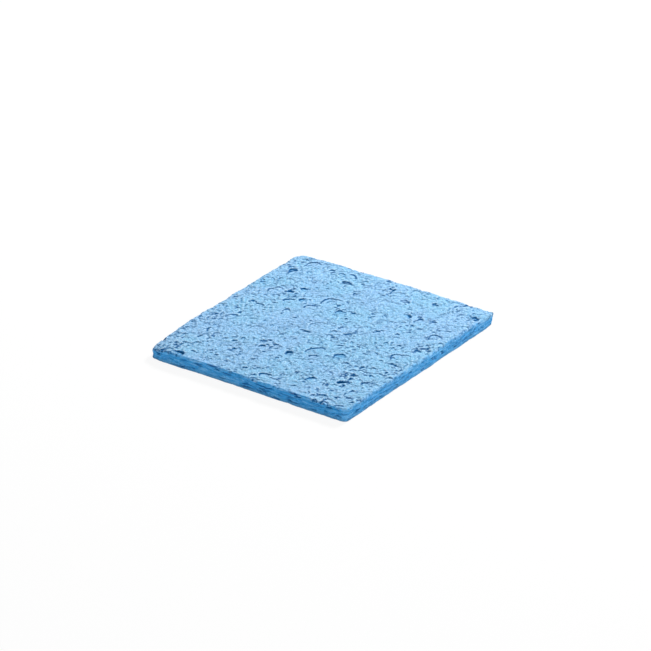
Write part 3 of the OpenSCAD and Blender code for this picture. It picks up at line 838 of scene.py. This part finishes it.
def blend(tree, factor, a, b):
    """The colour of one Mix node."""
    return add(tree, "ShaderNodeMix", {"data_type": "RGBA"}, i0=factor, i6=a, i7=b).outputs[2]


def laid_over(tree, under, colour, mask, most):
    """A colour with another laid over it where a mask is above 0, and to at most this share."""
    return blend(tree, maths(tree, "MULTIPLY", mask, most), under, colour)


def linear(red, green, blue):
    """A colour written in display values from 0 to 255, as the linear one that a shader takes."""
    share = np.array([red, green, blue]) / 255
    value = np.where(share <= 0.04045, share / 12.92, ((share + 0.055) / 1.055) ** 2.4)
    return (*value.tolist(), 1.0)


def noise(tree, vector, scale, detail, rough):
    """The value of one Noise Texture, its scale in waves for each metre."""
    made = add(tree, "ShaderNodeTexNoise", Vector=vector, Scale=scale, Detail=detail, Roughness=rough)
    return made.outputs[0]


def new_material(name):
    """A material with an empty node tree, and that tree."""
    material = bpy.data.materials.new(name)
    material.use_nodes = True
    material.node_tree.nodes.clear()
    return material, material.node_tree


def new_group(name, inputs, outputs):
    """An empty shader node group with its named inputs and outputs."""
    group = bpy.data.node_groups.new(name, "ShaderNodeTree")
    for title, kind, default in inputs:
        socket = group.interface.new_socket(title, in_out="INPUT", socket_type=kind)
        if default is not None:
            socket.default_value = default
    for title, kind in outputs:
        group.interface.new_socket(title, in_out="OUTPUT", socket_type=kind)
    return group, group.nodes.new("NodeGroupInput").outputs, group.nodes.new("NodeGroupOutput").inputs


def crescent_pits():
    """Crescent pores finer than the mesh, one in a share of the Voronoi cells: a depth from 0 to 1 that
    drops along the side towards +Y and climbs back from there, and a mask of painted shade along its wall."""
    group, given, result = new_group(
        "crescent_pits",
        [
            ("Vector", "NodeSocketVector", None), ("Cells", "NodeSocketFloat", 700.0),
            ("Share", "NodeSocketFloat", 0.5),
        ],
        [("Depth", "NodeSocketFloat"), ("Line", "NodeSocketFloat")],
    )
    cells = add(group, "ShaderNodeTexVoronoi", Vector=given["Vector"], Scale=given["Cells"]).outputs
    chance = add(group, "ShaderNodeSeparateColor", Color=cells["Color"]).outputs
    radius = maths(group, "MULTIPLY_ADD", chance[0], 0.30, 0.14)
    present = maths(group, "LESS_THAN", chance[1], given["Share"])
    strength = maths(group, "MULTIPLY", present, maths(group, "MULTIPLY_ADD", chance[2], 0.6, 0.4))
    inside = maths(group, "SUBTRACT", radius, cells["Distance"])
    offset = vector_maths(group, "SUBTRACT", given["Vector"], cells["Position"])
    ahead = add(group, "ShaderNodeSeparateXYZ", Vector=offset).outputs["Y"]
    away = maths(group, "DIVIDE", maths(group, "MULTIPLY", ahead, given["Cells"]), radius)
    wall = ramp(group, inside, 0.0, 0.07, "SMOOTHSTEP")
    climb = ramp(group, away, -0.5, 0.8)
    depth = maths(group, "MULTIPLY", maths(group, "MULTIPLY", wall, climb), strength)
    foot = ramp(group, inside, 0.22, 0.10, "SMOOTHSTEP")
    steep = ramp(group, away, -0.1, 0.6, "SMOOTHSTEP")
    line = maths(group, "MULTIPLY", wall, foot)
    line = maths(group, "MULTIPLY", line, maths(group, "MULTIPLY", steep, strength))
    group.links.new(depth, result["Depth"])
    group.links.new(line, result["Line"])
    return group


def fine_grain():
    """Crinkled grain between the crescent pits, as a height from 0 to 1."""
    group, given, result = new_group(
        "fine_grain",
        [("Vector", "NodeSocketVector", None), ("Waves", "NodeSocketFloat", 1500.0)],
        [("Height", "NodeSocketFloat")],
    )
    value = noise(group, given["Vector"], given["Waves"], 3.0, 0.65)
    swing = maths(group, "ABSOLUTE", maths(group, "SUBTRACT", value, 0.5))
    group.links.new(maths(group, "MULTIPLY", swing, 2.0), result["Height"])
    return group


# -------- the blue cellulose
SKIN = linear(143, 193, 230)  # dry skin of the top
SKIN_HIGHLIGHT = linear(188, 222, 248)  # painted highlight of the skin on raised places and beyond the pore walls
FLESH = linear(68, 166, 235)  # inside of the sheet: cut walls and pore walls
DARK_FIBRE_AND_SHADE = linear(0, 58, 128)  # dark fibres of the cut walls, and painted shade at the bottom of the deepest pores, slits and hollows
PORE_SHADE = linear(0, 76, 136)  # painted shade along the steep walls of the pores in the skin and in the slits of the cut walls
VIOLET = linear(153, 193, 235)  # patches of the skin that lean to violet
GREEN = linear(138, 197, 227)  # and to green
BLUE_PATCH_AND_SHADE = linear(40, 146, 206)  # painted shade in the hollows, pores and fine pits of the skin, away from the light, and the deeper blue of its blue patches
FOOT_SHADE = linear(102, 158, 196)  # greyer painted shade on the foot of the cut walls, by the floor
FIBRE = linear(126, 200, 254)  # paler fibres of the cut walls

WOBBLE_WAVES = 1600.0  # waves for each metre of the noise that crinkles the fine texture
WOBBLE_REACH = 0.0006  # how far it moves that texture in all, in metres
GRAIN_TURN = float(np.pi / 2 - STEEP_SIDE)  # turns the steep side of the wrinkles onto +Y
GRAIN_SQUASH = (1.0, 0.6, 1.0)  # makes the fine texture longer towards that side
FINE_PITS = ((560.0, 0.55), (950.0, 0.5))  # cells for each metre, and share that hold a pit
SMALL_PIT_DEPTH = 0.7  # depth of the smaller pits next to the larger ones
TINT_WAVES, TINT_SHARE = 110.0, 0.45  # patches of violet and green
STREAK_WAVES = 1700.0  # fibres of the cut walls
STREAK_SQUASH = (0.16, 0.16, 1.0)  # makes them longer along the sheet
FOOT_TOP, FOOT_LOW = 0.0011, 0.0002  # heights in metres between which the painted shade of the foot comes in
BUMP_HEIGHT = 0.00023  # height in metres of a bump of 1
GRAIN_HEIGHT, PIT_HEIGHT = 1.4, -0.8


def blue_cellulose():
    """Matt dyed cellulose: pale dry skin, deeper blue cut walls and pore walls, with painted shade in the
    pores, hollows and slits and at the foot of the walls, and painted highlights on raised places and rims.
    """
    material, tree = new_material("blue_cellulose")
    place = add(tree, "ShaderNodeTexCoord").outputs["Object"]
    pore, relief, steep, line, lip, cut = (
        add(tree, "ShaderNodeAttribute", {"attribute_name": name}).outputs["Fac"] for name in STORED
    )

    wobble = add(tree, "ShaderNodeTexNoise", Vector=place, Scale=WOBBLE_WAVES).outputs["Color"]
    centred = vector_maths(tree, "SUBTRACT", wobble, (0.5, 0.5, 0.5))
    shift = vector_maths(tree, "MULTIPLY", centred, (WOBBLE_REACH, WOBBLE_REACH, WOBBLE_REACH))
    crinkled = vector_maths(tree, "ADD", place, shift)
    about_z = {"rotation_type": "Z_AXIS"}
    turned = add(tree, "ShaderNodeVectorRotate", about_z, Vector=crinkled, Angle=GRAIN_TURN).outputs[0]
    stretched = vector_maths(tree, "MULTIPLY", turned, GRAIN_SQUASH)
    grain = add(tree, "ShaderNodeGroup", {"node_tree": fine_grain()}, Vector=stretched).outputs["Height"]
    pit_group = {"node_tree": crescent_pits()}
    large, small = (
        add(tree, "ShaderNodeGroup", pit_group, Vector=stretched, Cells=cells, Share=share).outputs
        for cells, share in FINE_PITS
    )
    small_depth = maths(tree, "MULTIPLY", small["Depth"], SMALL_PIT_DEPTH)
    pit_depth = maths(tree, "MAXIMUM", large["Depth"], small_depth)
    pit_line = maths(tree, "MAXIMUM", large["Line"], small["Line"])
    # painted highlight where a place stands over its neighbours, painted shade where it lies below them
    raised_highlight = ramp(tree, relief, 0.5, 0.66)
    sunk_shade = ramp(tree, relief, 0.5, 0.2)

    tint = blend(tree, ramp(tree, noise(tree, place, TINT_WAVES, 2.0, 0.5), 0.4, 0.62), VIOLET, GREEN)
    skin = blend(tree, TINT_SHARE, SKIN, tint)
    # on the skin: the painted highlight on raised places and the painted shade in hollows
    skin = laid_over(tree, skin, SKIN_HIGHLIGHT, raised_highlight, most=0.8)
    skin = laid_over(tree, skin, BLUE_PATCH_AND_SHADE, sunk_shade, most=0.65)

    streaks = noise(tree, vector_maths(tree, "MULTIPLY", place, STREAK_SQUASH), STREAK_WAVES, 3.0, 0.6)
    level = add(tree, "ShaderNodeSeparateXYZ", Vector=place).outputs["Z"]
    # on the cut walls: painted highlight and shade by relief, pale and dark fibres, painted shade at the
    # foot
    flesh = laid_over(tree, FLESH, SKIN, raised_highlight, most=0.35)
    flesh = laid_over(tree, flesh, DARK_FIBRE_AND_SHADE, sunk_shade, most=0.6)
    flesh = laid_over(tree, flesh, FIBRE, ramp(tree, streaks, 0.52, 0.68), most=0.75)
    flesh = laid_over(tree, flesh, DARK_FIBRE_AND_SHADE, ramp(tree, streaks, 0.46, 0.32), most=0.9)
    flesh = laid_over(tree, flesh, FOOT_SHADE, ramp(tree, level, FOOT_TOP, FOOT_LOW), most=0.6)

    whole = maths(tree, "MULTIPLY_ADD", cut, -0.6, 1.0)
    body = blend(tree, cut, skin, flesh)
    # painted highlight beyond steep walls; painted shade in pores, plus the deeper blue patches; flesh on
    # steep walls
    body = laid_over(tree, body, SKIN_HIGHLIGHT, lip, most=0.7)
    body = laid_over(tree, body, BLUE_PATCH_AND_SHADE, ramp(tree, pore, 0.15, 0.8), most=0.6)
    body = laid_over(tree, body, FLESH, ramp(tree, steep, 0.25, 0.6), most=0.8)
    # painted shade in the fine pits, along the steep walls and in the slits, and in the deepest and finest
    # hollows
    body = laid_over(tree, body, BLUE_PATCH_AND_SHADE, pit_depth, most=0.45)
    body = laid_over(tree, body, PORE_SHADE, pit_line, most=whole)
    body = blend(tree, maths(tree, "POWER", line, 0.8), body, PORE_SHADE)
    body = laid_over(tree, body, DARK_FIBRE_AND_SHADE, ramp(tree, relief, 0.15, 0.0), most=0.6)
    body = laid_over(tree, body, BLUE_PATCH_AND_SHADE, ramp(tree, grain, 0.25, 0.0), most=0.15)

    height = maths(tree, "MULTIPLY", grain, GRAIN_HEIGHT)
    height = maths(tree, "MULTIPLY_ADD", maths(tree, "MULTIPLY", pit_depth, whole), PIT_HEIGHT, height)
    bump = add(tree, "ShaderNodeBump", Strength=1.0, Distance=BUMP_HEIGHT, Height=height)
    shader = add(
        tree, "ShaderNodeBsdfPrincipled",
        Base_Color=body, Roughness=0.88, Specular_IOR_Level=0.1, Normal=bump.outputs[0],
    )
    add(tree, "ShaderNodeOutputMaterial", Surface=shader.outputs[0])
    return material


sheet = bpy.data.objects.new("sponge_sheet", sheet_mesh())
bpy.context.scene.collection.objects.link(sheet)
sheet.data.materials.append(blue_cellulose())
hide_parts("sponge")
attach(sheet, "root")


# -------- floor, light
FLOOR_SIDE = 6.0  # metres
FLOOR_COLOUR = 0.9  # how pale the table is to the light that it throws back
FLOOR_WHITE = 0.91  # share of plain white in what the camera sees of it
WORLD_LEVEL = 0.30  # strength of the surround as a light
WHITE = (1.0, 1.0, 1.0, 1.0)


def seen_or_mirrored(tree):
    """1 for rays from the camera, a mirror or a clear body, and 0 for the light between surfaces."""
    path = add(tree, "ShaderNodeLightPath").outputs
    mirrored = maths(tree, "MAXIMUM", path["Is Glossy Ray"], path["Is Transmission Ray"])
    return maths(tree, "MAXIMUM", path["Is Camera Ray"], mirrored)


def white_floor():
    """A plain table that looks white and keeps a pale part of the sheet's shadow."""
    half = FLOOR_SIDE / 2
    corners = [(-half, -half, 0), (half, -half, 0), (half, half, 0), (-half, half, 0)]
    mesh = bpy.data.meshes.new("floor")
    mesh.from_pydata(corners, [], [(0, 1, 2, 3)])
    floor = bpy.data.objects.new("floor", mesh)
    bpy.context.scene.collection.objects.link(floor)
    material, tree = new_material("white_table")
    diffuse = add(tree, "ShaderNodeBsdfDiffuse", Color=(FLOOR_COLOUR, FLOOR_COLOUR, FLOOR_COLOUR, 1.0))
    white = add(tree, "ShaderNodeEmission", Color=WHITE, Strength=1.0)
    share = maths(tree, "MULTIPLY", seen_or_mirrored(tree), FLOOR_WHITE)
    mixed = add(tree, "ShaderNodeMixShader", i0=share, i1=diffuse.outputs[0], i2=white.outputs[0])
    add(tree, "ShaderNodeOutputMaterial", Surface=mixed.outputs[0])
    mesh.materials.append(material)


def soft_world():
    """An even pale surround, white to the camera."""
    world = bpy.data.worlds.new("surround")
    bpy.context.scene.world = world
    world.use_nodes = True
    tree = world.node_tree
    tree.nodes.clear()
    level = add(tree, "ShaderNodeMapRange", i0=seen_or_mirrored(tree), i3=WORLD_LEVEL, i4=1.0).outputs[0]
    background = add(tree, "ShaderNodeBackground", Color=WHITE, Strength=level)
    add(tree, "ShaderNodeOutputWorld", Surface=background.outputs[0])


def softbox(name, towards, distance, side, watts):
    """A square area lamp in the given direction from the sheet, facing it."""
    data = bpy.data.lights.new(name, "AREA")
    data.shape = "SQUARE"
    data.size = side
    data.energy = watts
    lamp = bpy.data.objects.new(name, data)
    lamp.location = Vector(towards).normalized() * distance
    lamp.rotation_mode = "QUATERNION"
    lamp.rotation_quaternion = (-lamp.location).to_track_quat("-Z", "Y")
    bpy.context.scene.collection.objects.link(lamp)


white_floor()
soft_world()
softbox("key_behind", towards=(0.12, 1.0, 0.92), distance=0.6, side=0.13, watts=5.0)
softbox("fill_right", towards=(1.2, -1.8, 0.45), distance=1.4, side=0.8, watts=6.8)

view = bpy.context.scene.view_settings
view.view_transform = "Standard"
